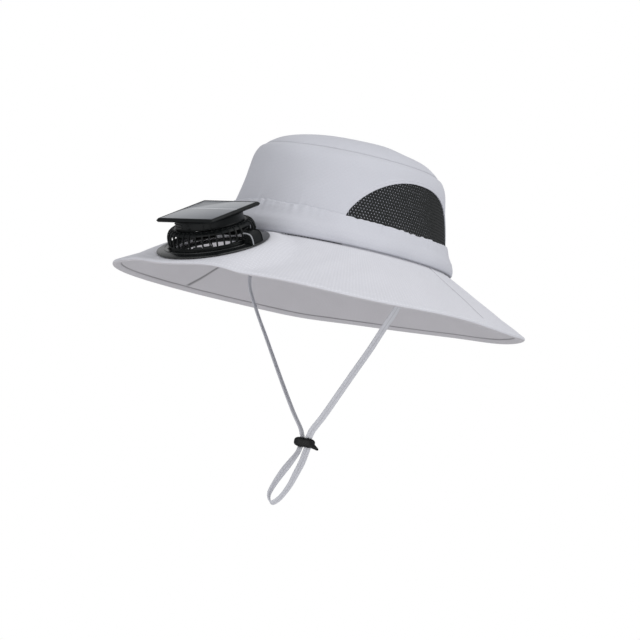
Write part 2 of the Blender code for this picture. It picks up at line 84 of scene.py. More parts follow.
def math_node(tree, op, a, b=0.0, clamp=False):
    node = tree.nodes.new("ShaderNodeMath")
    node.operation = op
    node.use_clamp = clamp
    for slot, value in ((0, a), (1, b)):
        if isinstance(value, (int, float)):
            node.inputs[slot].default_value = value
        else:
            link(tree, value, node.inputs[slot])
    return node.outputs[0]


def times(tree, a, b):
    return math_node(tree, "MULTIPLY", a, b)


def plus(tree, a, b, clamp=False):
    return math_node(tree, "ADD", a, b, clamp)


def minus(tree, a, b, clamp=False):
    return math_node(tree, "SUBTRACT", a, b, clamp)


def over(tree, a, b, clamp=False):
    return math_node(tree, "DIVIDE", a, b, clamp)


def ramp(tree, value, stops):
    node = tree.nodes.new("ShaderNodeValToRGB")
    marks = node.color_ramp.elements
    while len(marks) < len(stops):
        marks.new(0.5)
    for mark, (place, colour) in zip(marks, stops):
        mark.position = place
        mark.color = (*colour, 1.0)
    link(tree, value, node.inputs[0])
    return node.outputs[0]


def noise(tree, vector, scale, detail):
    node = tree.nodes.new("ShaderNodeTexNoise")
    fill(node, Scale=scale, Detail=detail)
    link(tree, vector, node.inputs["Vector"])
    return node.outputs["Fac"]


def wave(tree, vector, scale, axis, distortion=0.0):
    node = tree.nodes.new("ShaderNodeTexWave")
    node.bands_direction = axis
    fill(node, Scale=scale, Distortion=distortion, Detail_Scale=2.0)
    link(tree, vector, node.inputs["Vector"])
    return node.outputs["Fac"]


def coordinates(tree, kind):
    return tree.nodes.new("ShaderNodeTexCoord").outputs[kind]


def mix_colour(tree, factor, a, b):
    node = tree.nodes.new("ShaderNodeMix")
    node.data_type = "RGBA"
    for slot, value in ((0, factor), (6, a), (7, b)):
        if isinstance(value, (int, float)):
            node.inputs[slot].default_value = value
        elif isinstance(value, tuple):
            node.inputs[slot].default_value = (*value, 1.0)
        else:
            link(tree, value, node.inputs[slot])
    return node.outputs[2]


def stripe(tree, value, at, half):
    """One at a place along an axis, falling to nothing half a width away."""
    off = math_node(tree, "ABSOLUTE", minus(tree, value, at))
    return minus(tree, 1.0, over(tree, off, half), True)


def toned(colour, share):
    return tuple(c * share for c in colour)


def bump(tree, shader, height, strength, distance):
    node = tree.nodes.new("ShaderNodeBump")
    fill(node, Strength=strength, Distance=distance)
    link(tree, height, node.inputs["Height"])
    link(tree, node.outputs[0], shader.inputs["Normal"])


# Cloth: how much a thread wanders and stands up, the tone of the painted shade at its foot, and the darkness
# of its seams
THREAD_WANDER, THREAD_HEIGHT = 0.6, 0.00025
FOOT_SHADE_TONE, SEAM_TONE, SEAM_FADE = 0.22, 0.25, 0.003


def cloth_material(name, colour, shade, thread=0.00055, relief=0.35, sheen=0.12,
                   painted_foot_shade=0.0, seams=(), hem_line=None):
    """Plain woven cloth: warp, weft and slubs, in metres of its own map.

    Painted shade darkens its foot, where it sits on the brim, from the foot up to the given height. A seam is
    a dark line up the cloth: place, half width, strength and lower end. The hem line runs round: height, half
    width and strength.
    """
    made, tree, shader = new_material(name)
    uv = coordinates(tree, "UV")
    place = coordinates(tree, "Object")
    scale = 1.0 / (thread * 20.0) * math.pi
    warp = wave(tree, uv, scale, "X", THREAD_WANDER)
    weft = wave(tree, uv, scale, "Y", THREAD_WANDER)
    weave = times(tree, warp, weft)
    slub = noise(tree, uv, 900.0, 2.0)
    cloud = noise(tree, place, 22.0, 3.0)
    light = times(tree, weave, 0.35)
    light = plus(tree, light, times(tree, slub, 0.35))
    light = plus(tree, light, times(tree, cloud, 0.45), True)
    tone = ramp(tree, light, ((0.2, toned(colour, shade)), (0.8, colour)))
    split = tree.nodes.new("ShaderNodeSeparateXYZ")
    link(tree, uv, split.inputs[0])
    # Painted shade: the cloth's foot is darkened where it sits on the brim
    if painted_foot_shade:
        height = over(tree, split.outputs[1], painted_foot_shade)
        foot_shade = minus(tree, 1.0, height, True)
        tone = mix_colour(tree, foot_shade, tone, toned(colour, FOOT_SHADE_TONE))
    for at, half, share, stop in seams:
        near = stripe(tree, split.outputs[0], at, half)
        past_end = minus(tree, split.outputs[1], stop)
        inside = over(tree, past_end, SEAM_FADE, True)
        near = times(tree, times(tree, near, inside), share)
        tone = mix_colour(tree, near, tone, toned(colour, SEAM_TONE))
    if hem_line:
        at, half, share = hem_line
        near = times(tree, stripe(tree, split.outputs[1], at, half), share)
        tone = mix_colour(tree, near, tone, toned(colour, SEAM_TONE))
    link(tree, tone, shader.inputs["Base Color"])
    fill(shader, Roughness=0.85, Sheen_Weight=sheen, Sheen_Roughness=0.5)
    raised = plus(tree, weave, times(tree, slub, 0.6))
    bump(tree, shader, raised, relief, THREAD_HEIGHT)
    return made


# Plastic: how far its roughness varies, and the height of its grain
ROUGHNESS_SPREAD, GRAIN_HEIGHT = 0.22, 0.00008


def plastic_material(name, colour, roughness, grain=0.1, shine=0.25):
    """Moulded plastic with a fine grain and faint handling marks."""
    made, tree, shader = new_material(name)
    place = coordinates(tree, "Object")
    fine = noise(tree, place, 2600.0, 2.0)
    broad = noise(tree, place, 60.0, 4.0)
    tone = ramp(tree, broad, ((0.25, toned(colour, 0.75)), (0.75, toned(colour, 1.3))))
    link(tree, tone, shader.inputs["Base Color"])
    spread = times(tree, broad, ROUGHNESS_SPREAD)
    rough = plus(tree, spread, roughness - ROUGHNESS_SPREAD / 2)
    link(tree, rough, shader.inputs["Roughness"])
    shader.inputs["Specular IOR Level"].default_value = shine
    bump(tree, shader, fine, grain, GRAIN_HEIGHT)
    return made


# Angles from the front of the brim's two side seams, and metres of its map in one radian
SIDE_SEAMS = (98.7, 272.2)
BRIM_TURN = 0.135
SEAM_PLACES = [math.radians(at) * BRIM_TURN for at in SIDE_SEAMS]
CROWN_GREY = (0.600, 0.607, 0.660)
WEAVE_SHADE = 0.86
CLOTH = cloth_material("hat_cloth_woven", CROWN_GREY, WEAVE_SHADE)
SIDE_LOOK = cloth_material("crown_cloth_woven", CROWN_GREY, WEAVE_SHADE, hem_line=(0.0756, 0.0006, 0.34))
# The band's foot takes 1.3 mm of painted shade where it sits on the brim
BAND_LOOK = cloth_material("band_cloth_woven", CROWN_GREY, WEAVE_SHADE, painted_foot_shade=0.0013)
BRIM_TOP = cloth_material("brim_cloth_woven", (0.685, 0.687, 0.735), WEAVE_SHADE, thread=0.00115,
                          relief=0.55, seams=[(at, 0.0013, 0.95, 0.0115) for at in SEAM_PLACES])
UNDER = cloth_material("brim_lining_woven", (0.545, 0.530, 0.560), WEAVE_SHADE,
                       seams=[(at, 0.0024, 1.0, 0.0065) for at in SEAM_PLACES],
                       hem_line=(0.0068, 0.0006, 0.8))
RIBBON = cloth_material("strap_woven", (0.590, 0.595, 0.635), 0.96, thread=0.00025, relief=0.02,
                        seams=[(0.0, 0.0005, 0.30, -1.0)])
YARN = cloth_material("net_yarn", (0.0050, 0.0068, 0.0072), 0.55, thread=0.0003, sheen=0.02)
BLACK = plastic_material("plastic_satin_black", (0.0042, 0.0052, 0.0056), 0.38, 0.12, 0.16)
# Painted highlight: a lighter, shinier copy of the black plastic for the neck's ribs, standing in for light
# caught on them
RIB_HIGHLIGHT = plastic_material("plastic_rib_painted_highlight", (0.022, 0.023, 0.025), 0.40, 0.06, 0.4)
# Painted highlight: a light grey plastic for the port's lip, standing in for light caught on its rim
LIP_HIGHLIGHT = plastic_material("plastic_lip_painted_highlight", (0.30, 0.31, 0.33), 0.35, 0.06, 0.5)
GLOSSY = plastic_material("plastic_glossy_black", (0.0060, 0.0070, 0.0076), 0.27, 0.06, 0.6)
ROTOR = plastic_material("plastic_rotor_black", (0.0060, 0.0064, 0.0068), 0.48, 0.08)
LOCK = plastic_material("plastic_lock_black", (0.0060, 0.0062, 0.0068), 0.45)

# Solar cell, in metres: the bus bar's place and half width, and the grid's pitch
CELL_BAR, CELL_BAR_HALF, CELL_PITCH = 0.0040, 0.0005, 0.0016


def cell_material():
    """Solar cell face: dark grey film with fine grid lines and one bus bar; painted shade darkens the part on
    the brim's edge side of the bar, standing in for a dimmer reflection.
    """
    made, tree, shader = new_material("solar_cell_face")
    uv = coordinates(tree, "UV")
    split = tree.nodes.new("ShaderNodeSeparateXYZ")
    link(tree, uv, split.inputs[0])
    off = math_node(tree, "ABSOLUTE", minus(tree, split.outputs[1], CELL_BAR))
    bar = math_node(tree, "LESS_THAN", off, CELL_BAR_HALF)
    # Painted shade: the part of the cell short of the bus bar, toward the brim's edge, is darkened, standing
    # in for a dimmer reflection there
    painted_dark_half = math_node(tree, "LESS_THAN", split.outputs[1], CELL_BAR)
    fine = wave(tree, uv, math.pi / (CELL_PITCH * 10.0), "X")
    lines = math_node(tree, "GREATER_THAN", fine, 0.93)
    cloud = noise(tree, uv, 60.0, 3.0)
    base = ramp(tree, cloud, ((0.3, (0.088, 0.092, 0.108)), (0.7, (0.118, 0.123, 0.142))))
    lined = mix_colour(tree, times(tree, lines, 0.35), base, (0.30, 0.30, 0.32))
    half_shaded = mix_colour(tree, times(tree, painted_dark_half, 0.55), lined, (0.045, 0.047, 0.053))
    barred = mix_colour(tree, bar, half_shaded, (0.62, 0.62, 0.64))
    link(tree, barred, shader.inputs["Base Color"])
    fill(shader, Roughness=0.28, Specular_Tint=(0.90, 0.94, 1.0, 1.0), Coat_Weight=0.8,
         Coat_Tint=(0.94, 0.97, 1.0, 1.0), Coat_Roughness=0.12)
    bump(tree, shader, cloud, 0.05, 0.0002)
    return made


CELL = cell_material()


# Helpers
def make(name, verts, faces, looks, body="hat", nodes=(), uv=None,
         which=None, sharp=None):
    """A smooth-shaded piece on a body, in place of the named solids."""
    mesh = bpy.data.meshes.new(name)
    mesh.from_pydata([tuple(v) for v in verts], [], [tuple(f) for f in faces])
    looks = looks if isinstance(looks, (list, tuple)) else [looks]
    for look in looks:
        mesh.materials.append(look)
    if uv is not None:
        layer = mesh.uv_layers.new(name="UVMap")
        index = np.empty(len(mesh.loops), np.int64)
        mesh.loops.foreach_get("vertex_index", index)
        layer.data.foreach_set("uv", np.asarray(uv, np.float32)[index].ravel())
    if which is not None:
        mesh.polygons.foreach_set("material_index", np.asarray(which, np.int32))
    work = bmesh.new()
    work.from_mesh(mesh)
    bmesh.ops.recalc_face_normals(work, faces=work.faces)
    work.to_mesh(mesh)
    work.free()
    mesh.shade_smooth()
    if sharp is not None:
        mesh.set_sharp_from_angle(angle=math.radians(sharp))
    mesh.update()
    made = bpy.data.objects.new(name, mesh)
    bpy.context.scene.collection.objects.link(made)
    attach(made, body)
    if nodes:
        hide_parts(*nodes)
    return made


def shell(outer, inner, keep=None, wrap=True, caps=False):
    """Vertices and faces of a sheet with two skins, from arrays rows x cols x 3.

    It also gives each face's kind, 0 outer, 1 inner, and the vertices that are used.
    """
    outer, inner = np.asarray(outer, float), np.asarray(inner, float)
    rows, cols = outer.shape[:2]
    cells = cols if wrap else cols - 1
    size = rows * cols
    verts = np.concatenate([outer.reshape(-1, 3), inner.reshape(-1, 3)])
    present = np.ones((rows - 1, cells), bool) if keep is None else np.asarray(keep)
    r, c = np.nonzero(present)
    d = (c + 1) % cols

    def at(skin, row, col):
        return skin * size + row * cols + col

    faces = [np.stack([at(0, r, c), at(0, r, d), at(0, r + 1, d), at(0, r + 1, c)], 1)]
    faces.append(np.stack([at(1, r, c), at(1, r + 1, c), at(1, r + 1, d), at(1, r, d)], 1))
    padded = np.zeros((rows + 1, cells + 2), bool)
    padded[1:-1, 1:-1] = present
    if wrap:
        padded[1:-1, 0], padded[1:-1, -1] = present[:, -1], present[:, 0]
    open_left = ~padded[r + 1, c]
    open_right = ~padded[r + 1, c + 2]
    open_low = ~padded[r, c + 1]
    open_high = ~padded[r + 2, c + 1]
    if caps:
        open_high &= r != rows - 2
    faces.append(np.stack([at(0, r, c), at(0, r + 1, c), at(1, r + 1, c), at(1, r, c)], 1)[open_left])
    faces.append(np.stack([at(0, r, d), at(1, r, d), at(1, r + 1, d), at(0, r + 1, d)], 1)[open_right])
    faces.append(np.stack([at(0, r, c), at(1, r, c), at(1, r, d), at(0, r, d)], 1)[open_low])
    upper = np.stack([at(0, r + 1, c), at(0, r + 1, d), at(1, r + 1, d), at(1, r + 1, c)], 1)
    faces.append(upper[open_high])
    kinds = np.concatenate([np.full(len(f), k) for k, f in enumerate(faces)])
    faces = np.concatenate(faces).tolist()
    if caps:
        faces.append([at(0, rows - 1, k) for k in range(cols)])
        faces.append([at(1, rows - 1, k) for k in range(cols)][::-1])
        kinds = np.concatenate([kinds, [0, 1]])
    used = np.unique(np.concatenate([np.asarray(f) for f in faces]))
    place = np.full(len(verts), -1)
    place[used] = np.arange(len(used))
    return verts[used], [[int(place[i]) for i in f] for f in faces], kinds, used


def make_cloth(name, node, outer, inner, places, looks, keep=None, caps=False):
    """A sheet between two skins, mapped by places, with a look for each skin or one for both."""
    verts, faces, kinds, used = shell(outer, inner, keep, caps=caps)
    uv = np.concatenate([places.reshape(-1, 2)] * 2)[used]
    make(name, verts, faces, looks, nodes=[node], uv=uv, which=(kinds == 1) * (len(looks) - 1))


def smoothed(rows, x):
    """A smooth curve through (place, value) rows, without overshoot."""
    xs = np.array([r[0] for r in rows], float)
    ys = np.array([r[1] for r in rows], float)
    step = np.diff(xs)
    slope = np.diff(ys) / step
    tangent = np.zeros(len(xs))
    tangent[0], tangent[-1] = slope[0], slope[-1]
    for i in range(1, len(xs) - 1):
        if slope[i - 1] * slope[i] > 0:
            w1, w2 = 2 * step[i] + step[i - 1], step[i] + 2 * step[i - 1]
            tangent[i] = (w1 + w2) / (w1 / slope[i - 1] + w2 / slope[i])
    x = np.clip(np.asarray(x, float), xs[0], xs[-1])
    k = np.clip(np.searchsorted(xs, x) - 1, 0, len(step) - 1)
    t = (x - xs[k]) / step[k]
    h00, h10 = 2 * t**3 - 3 * t**2 + 1, t**3 - 2 * t**2 + t
    h01, h11 = -2 * t**3 + 3 * t**2, t**3 - t**2
    return h00 * ys[k] + h10 * step[k] * tangent[k] + h01 * ys[k + 1] + h11 * step[k] * tangent[k + 1]


def ease(value):
    value = np.clip(value, 0.0, 1.0)
    return value * value * (3.0 - 2.0 * value)


def bell(off, width):
    """One at nothing off, falling away smoothly over the width."""
    return np.exp(-((off / width) ** 2))


def wrapped(angle):
    """The same angle from -180 to 180 degrees."""
    return (angle + 180.0) % 360.0 - 180.0


def ripple(angle, seed, waves, low, high):
    """A sum of sines round the hat, about -1 to 1, the same each run."""
    rng = np.random.default_rng(seed)
    total = np.zeros_like(angle, dtype=float)
    for n in rng.integers(low, high, waves):
        total += np.sin(np.radians(angle) * n + rng.uniform(0, 2 * np.pi)) * rng.uniform(0.5, 1.0)
    return total / math.sqrt(waves)


def normals_of(grid):
    """Unit normals of a closed grid rows x cols x 3."""
    along = np.roll(grid, -1, 1) - np.roll(grid, 1, 1)
    up = np.gradient(grid, axis=0)
    out = np.cross(along, up)
    return out / np.maximum(np.linalg.norm(out, axis=2, keepdims=True), 1e-12)


def tangents(line):
    """Unit directions along a line of points."""
    along = np.gradient(line, axis=0)
    return along / np.linalg.norm(along, axis=1, keepdims=True)


def route_line(points, step):
    """Even points every step on a smooth curve through given points."""
    knots = [np.array(p, float) * MM for p in points]
    knots = [2 * knots[0] - knots[1], *knots, 2 * knots[-1] - knots[-2]]
    fine = []
    for i in range(1, len(knots) - 2):
        for t in np.linspace(0.0, 1.0, 24, endpoint=False):
            fine.append(curve_point(*knots[i - 1 : i + 3], t))
    fine.append(knots[-2])
    fine = np.array(fine)
    run = np.concatenate([[0.0], np.cumsum(np.linalg.norm(np.diff(fine, axis=0), axis=1))])
    marks = np.linspace(0.0, run[-1], max(4, round(run[-1] / step)) + 1)
    return np.stack([np.interp(marks, run, fine[:, k]) for k in range(3)], 1), run[-1]


def curve_point(p0, p1, p2, p3, t):
    """A point between p1 and p2 on a smooth curve through all four."""
    return 0.5 * (2 * p1 + (p2 - p0) * t + (2 * p0 - 5 * p1 + 4 * p2 - p3) * t**2
                  + (3 * p1 - p0 - 3 * p2 + p3) * t**3)


def joined(parts):
    """One set of vertices and faces from several."""
    verts, faces, base = [], [], 0
    for part_verts, part_faces in parts:
        verts.append(np.asarray(part_verts, float))
        faces.extend([[i + base for i in f] for f in part_faces])
        base += len(part_verts)
    return np.concatenate(verts), faces


def bar_faces(rows, cols):
    """Faces of a closed bar of rows with cols points each, and its two ends."""
    faces = []
    for r in range(rows - 1):
        for c in range(cols):
            d = (c + 1) % cols
            faces.append((r * cols + c, r * cols + d, (r + 1) * cols + d, (r + 1) * cols + c))
    faces.append(tuple(range(cols)))
    last = (rows - 1) * cols
    faces.append(tuple(last + c for c in range(cols))[::-1])
    return faces


def tube(points, radius, sides=10):
    """Round bar along a bent line that lies in one plane of constant y."""
    line = np.array(points, float)
    tangent = tangents(line)
    out = np.stack([-tangent[:, 2], 0 * tangent[:, 1], tangent[:, 0]], 1)
    radii = np.broadcast_to(radius, len(line))
    aside = np.array([0.0, 1.0, 0.0])
    verts = []
    for p, n, r in zip(line, out, radii):
        for k in range(sides):
            t = 2 * math.pi * k / sides
            verts.append(p + r * (math.cos(t) * n + math.sin(t) * aside))
    return np.array(verts) * MM, bar_faces(len(line), sides)


# Chin strap
STRAP_WIDTH, STRAP_THICK = 5.5 * MM, 1.1 * MM
STRAP_STEP, STRAP_SIDES, SELVEDGE = 1.2 * MM, 20, 0.12 * MM

# Routes in mm, from the brim's underside to the lock, and round the loop
STRAP_LEFT_ROUTE = (
    (86.7, -2.6, -4.25), (84.9, -2.8, -7.1), (83.0, -3.4, -14.0), (80.8, -4.1, -24.0),
    (77.0, -4.8, -35.4), (65.5, -3.6, -54.4), (54.1, -1.4, -72.0), (42.0, 0.0, -90.0),
    (28.6, 1.8, -110.0), (15.8, 3.8, -128.5), (6.6, 5.1, -140.2), (3.9, 5.6, -145.6),
)
STRAP_LOOP_ROUTE = (
    (-3.7, 5.4, -156.9), (-3.8, 4.1, -160.4), (-4.3, -1.1, -168.0), (-5.0, -9.0, -178.8),
    (-5.5, -16.1, -190.1), (-4.5, -20.6, -198.5), (-0.4, -20.7, -204.1), (3.8, -16.8, -199.4),
    (5.3, -9.8, -188.7), (5.1, -3.6, -177.2), (4.3, 1.8, -167.6), (3.8, 4.4, -160.8),
    (3.7, 5.6, -156.9),
)


def ribbon(name, route, across_start, across_end, nodes, tuck, across_middle=None):
    """A flat woven ribbon along a route, with selvedges and rounded sides.

    Its width turns from one direction to the next, and its ends run on by tuck in mm.
    """
    line, length = route_line(route, STRAP_STEP)
    tangent = tangents(line)
    first = line[0] - tangent[0] * tuck[0] * MM
    last = line[-1] + tangent[-1] * tuck[1] * MM
    rows = np.vstack([first, line, last])
    tangent = np.vstack([tangent[0], tangent, tangent[-1]])
    count = len(rows)
    section = []
    half, thick = STRAP_WIDTH / 2, STRAP_THICK / 2
    for k in range(STRAP_SIDES):
        turn = 2 * math.pi * k / STRAP_SIDES
        x, y = math.cos(turn), math.sin(turn)
        section.append((half * math.copysign(abs(x) ** 0.45, x), thick * math.copysign(abs(y) ** 0.6, y)))
    verts, uv = [], []
    for i in range(count):
        part = ease(i / (count - 1))
        across = np.array(across_start) * (1 - part) + np.array(across_end) * part
        if across_middle:
            bow = math.sin(math.pi * i / (count - 1)) ** 1.5
            across = across * (1 - bow) + np.array(across_middle) * bow
        across = across - tangent[i] * np.dot(across, tangent[i])
        across /= np.linalg.norm(across)
        out = np.cross(tangent[i], across)
        for x, y in section:
            lip = SELVEDGE * bell(abs(x) - half * 0.8, 0.5 * MM) * (1 if y >= 0 else -1)
            verts.append(rows[i] + across * x + out * (y + lip))
            uv.append((x, length * i / (count - 1)))
    faces = bar_faces(count, STRAP_SIDES)
    made = make(name, verts, faces, RIBBON, nodes=nodes, uv=uv)
    return made, line, length


MIRRORED = [(-x, y, z) for x, y, z in STRAP_LEFT_ROUTE]
BRIM_TUCK_IN, LOCK_TUCK_IN = 0.8, 2.6
strap_left, line_left, length_left = ribbon(
    "chin_strap_left", STRAP_LEFT_ROUTE, (0.5, 0.9, 0), (0.77, 0.64, 0), ["strap_left"],
    (BRIM_TUCK_IN, LOCK_TUCK_IN))
strap_right, line_right, length_right = ribbon(
    "chin_strap_right", MIRRORED, (-0.3, 1, 0), (-0.02, 1.0, 0), ["strap_right"],
    (BRIM_TUCK_IN, LOCK_TUCK_IN))
strap_loop, line_loop, length_loop = ribbon(
    "chin_strap_loop", STRAP_LOOP_ROUTE, (0.85, -0.1, 0), (0.8, 0.55, 0), ["strap_loop"],
    (LOCK_TUCK_IN, LOCK_TUCK_IN), (-0.15, 0.9, -0.5))

# The lock in mm, and its turn in degrees; its tail as (out, aside, height) rows
LOCK_CENTRE, LOCK_HALF, LOCK_TURN = (0.0, 5.6, -151.5), (8.5, 4.2, 4.1), 30.0
LOCK_TAIL = ((5.0, 0, -1.0), (7.6, 0, -1.9), (9.6, 0, -2.9), (11.2, 0, -3.7), (12.0, 0, -4.2))
LOCK_TAIL_RADII = (2.6, 2.0, 1.5, 1.1, 0.5)


def lock_mesh():
    """Bean-shaped cord lock: two lobes, a waist, a short tail and a seam line."""
    centre = np.array(LOCK_CENTRE) * MM
    half = np.array(LOCK_HALF) * MM
    rows, cols = 29, 56
    verts = []
    for r in range(1, rows - 1):
        lat = math.pi * (r / (rows - 1) - 0.5)
        for c in range(cols):
            lon = 2 * math.pi * c / cols
            x = math.cos(lat) * math.cos(lon)
            y = math.cos(lat) * math.sin(lon)
            z = math.sin(lat)
            x = math.copysign(abs(x) ** 0.72, x)
            y = math.copysign(abs(y) ** 0.72, y)
            z = math.copysign(abs(z) ** 0.62, z)
            waist = 1.0 - 0.10 * bell(x, 0.22)
            seam = 1.0 - 0.03 * bell(z, 0.06)
            verts.append(centre + np.array([half[0] * x, half[1] * y * waist * seam, half[2] * z * waist]))
    tail_verts, tail_faces = tube(LOCK_TAIL, LOCK_TAIL_RADII, 16)
    verts, faces = joined([(verts, bar_faces(rows - 2, cols)), (tail_verts + centre, tail_faces)])
    turn = np.array(Matrix.Rotation(math.radians(LOCK_TURN), 3, "Z"))
    verts = centre + (verts - centre) @ turn.T
    return make("cord_lock_body", verts, faces, LOCK, nodes=["cord_lock"], sharp=50)


lock = lock_mesh()


# Crown
# Half sizes at its foot, heights of seam and top, and the band's height and dip
HALF_WIDTH, HALF_LENGTH = 87.6 * MM, 106.0 * MM
SEAM, TOP = 75.5 * MM, 92.2 * MM
BAND, BAND_DIP = 25.9 * MM, 3.8 * MM
CLOTH_WALL = 1.5 * MM
TIP_SHARE = 0.742
SEAM_LIFT = 0.3 * MM

# Rows of share of the seam's height, and share of the foot's half sizes
SIDE_ROWS = (
    (0.014, 0.955), (0.162, 0.936), (0.351, 0.899), (0.486, 0.876), (0.622, 0.855),
    (0.757, 0.838), (0.858, 0.822), (0.932, 0.798), (0.977, 0.768), (1.000, TIP_SHARE),
)

# Rows of share of the foot's half sizes, and share of the dome's rise
TOP_ROWS = (
    (0.0, 1.0), (0.11, 0.995), (0.35, 0.88), (0.505, 0.70), (0.63, 0.45), (0.702, 0.19), (TIP_SHARE, 0.0),
)

# Rows of share of the band's height, and share of the foot's half sizes
BAND_ROWS = ((0.0, 1.0), (0.17, 1.004), (0.38, 0.992), (0.66, 0.953), (1.0, 0.922))

# Arches: degrees from the front to the middle, half spans above and at the foot, and rise
VENT_CENTRE, VENT_SPAN, VENT_FOOT, VENT_RISE = 91.9, 45.0, 51.0, 39.4 * MM

# Mean radii that turn angles into lengths round the side, the band and the nets
SIDE_RADIUS, BAND_RADIUS, NET_RADIUS = 92.0 * MM, 95.0 * MM, 90.0 * MM


def ring(angle, share, z, proud):
    """Points round the crown at angles from the front, standing proud of it."""
    turn = np.radians(angle)
    grow = HALF_WIDTH * share + proud, HALF_LENGTH * share + proud
    return np.stack([grow[0] * np.sin(turn), -grow[1] * np.cos(turn), z + 0.0 * turn], -1)


def band_top(angle):
    """Height of the band's upper edge, which dips over the ears."""
    return BAND - BAND_DIP * np.sin(np.radians(angle)) ** 2


def vent_line(angle):
    """Height of the arch over each ear, at angles from the front."""
    off = np.abs(np.abs(wrapped(angle)) - VENT_CENTRE)
    arch = np.maximum(0.0, 1.0 - (np.minimum(off, VENT_SPAN) / VENT_SPAN) ** 2.2) ** 0.75
    low = band_top(angle) + 0.5 * MM
    high = low + VENT_RISE * arch
    part = np.clip((off - VENT_SPAN) / (VENT_FOOT - VENT_SPAN), 0.0, 1.0)
    return np.where(off <= VENT_SPAN, high, low * (1 - part) + 1.0 * MM * part)


def side_share(z):
    return smoothed(SIDE_ROWS, z / SEAM)


def make_crown_side():
    cols, rows = 540, 60
    angle = np.arange(cols) * 360.0 / cols
    low = vent_line(angle)
    t = np.linspace(0.0, 1.0, rows) ** 0.9
    z = low[None] + (SEAM + SEAM_LIFT - low[None]) * t[:, None]
    a = np.broadcast_to(angle, z.shape)
    slope = np.gradient(low) / (np.radians(360.0 / cols) * 88 * MM)
    edge = (z - low[None]) * np.cos(np.arctan(slope))[None]
    off = np.abs(np.abs(wrapped(angle)) - VENT_CENTRE)
    arch = ease((VENT_SPAN + 1.0 - off) / 3.0)[None]
    tape = 0.45 * MM * (1 - ease((edge - 2.6 * MM) / (0.8 * MM)))
    binding = arch * (tape - 0.3 * MM * bell(edge - 1.9 * MM, 0.3 * MM))
    up = z - band_top(a)
    fine = ripple(a, 3, 14, 50, 110)
    lively = 0.3 + 0.7 * ease(0.5 + 0.8 * ripple(a, 77, 5, 3, 12))
    pucker = 0.30 * MM * fine * lively * np.exp(-np.maximum(up, 0) / (5 * MM)) * (1 - arch)
    middle = np.sin(np.pi * np.clip(up / (SEAM - BAND), 0, 1))
    soft = ripple(a + z * 260.0, 5, 7, 3, 11) * middle * 0.8 * MM
    seam = 0.25 * MM * bell(SEAM - 2.6 * MM - z, 1.2 * MM) - 0.35 * MM * bell(SEAM - z, 0.9 * MM)
    proud = binding + pucker + soft * (1 - arch * np.exp(-edge / (6 * MM))) + seam
    share = side_share(z)
    outer = ring(a, share, z, proud)
    inner = ring(a, share, z, proud - CLOTH_WALL)
    places = np.stack([np.radians(a) * SIDE_RADIUS, z], -1)
    make_cloth("crown_side_cloth", "crown_side", outer, inner, places, [SIDE_LOOK])


def make_crown_top():
    cols, rows = 360, 46
    angle = np.arange(cols) * 360.0 / cols
    share = TIP_SHARE * (1 - np.linspace(0.0, 0.985, rows) ** 1.15)
    a, s = np.meshgrid(angle, share)
    rise = smoothed(TOP_ROWS, s)
    fine = ripple(a, 8, 12, 40, 90)
    gap = (TIP_SHARE - s) * HALF_WIDTH
    middle = np.sin(np.pi * np.clip(s / TIP_SHARE, 0, 1))
    z = SEAM + SEAM_LIFT + rise * (TOP - SEAM - SEAM_LIFT)
    z = z + 0.5 * MM * ripple(a + s * 180, 21, 5, 2, 6) * middle
    proud = 0.2 * MM * fine * np.exp(-gap / (5 * MM)) - 0.3 * MM * bell(gap, 0.8 * MM)
    outer = ring(a, s, z, proud)
    normal = normals_of(outer)
    normal = normal * np.sign(normal[..., 2:3] + 1e-9)
    inner = outer - normal * CLOTH_WALL
    make_cloth("crown_top_cloth", "crown_top", outer, inner, outer[..., :2], [CLOTH], caps=True)


def make_band():
    cols, rows = 540, 34
    angle = np.arange(cols) * 360.0 / cols
    t = np.linspace(0.0, 1.0, rows)
    a, t2 = np.meshgrid(angle, t)
    fine = ripple(a, 31, 16, 46, 96)
    lively = 0.25 + 0.75 * ease(0.5 + 0.8 * ripple(angle, 77, 5, 3, 12))
    scallop = (0.38 * ripple(angle, 31, 16, 46, 110) + 0.35 * ripple(angle, 12, 6, 8, 20)) * MM
    z = 0.5 * MM + t2 * (band_top(a) - 0.5 * MM) + scallop[None] * t2**4
    share = smoothed(BAND_ROWS, t2)
    proud = 0.7 * MM * fine * lively[None] * t2**4 + 0.7 * MM * ripple(a, 17, 7, 5, 16) * np.sin(np.pi * t2)
    proud = proud - 0.22 * MM * bell((1 - t2) * BAND - 2.2 * MM, 1.0 * MM)
    proud = proud - 1.1 * MM * (1 - ease(t2 / 0.05)) - 0.5 * MM * ease((t2 - 0.95) / 0.05)
    outer = ring(a, share, z, proud)
    inner = ring(a, share, z, proud - CLOTH_WALL)
    places = np.stack([np.radians(a) * BAND_RADIUS, z], -1)
    make_cloth("hat_band_cloth", "hat_band", outer, inner, places, [BAND_LOOK])


# Nets: pitch, height, the hole's share of its cell, depths of the yarn's faces, and its roundness
NET_PITCH, NET_HEIGHT, NET_HOLE = 2.7 * MM, 46.0 * MM, 0.365
NET_INSETS, NET_ROUND = (0.25 * MM, 1.05 * MM), 0.16 * MM


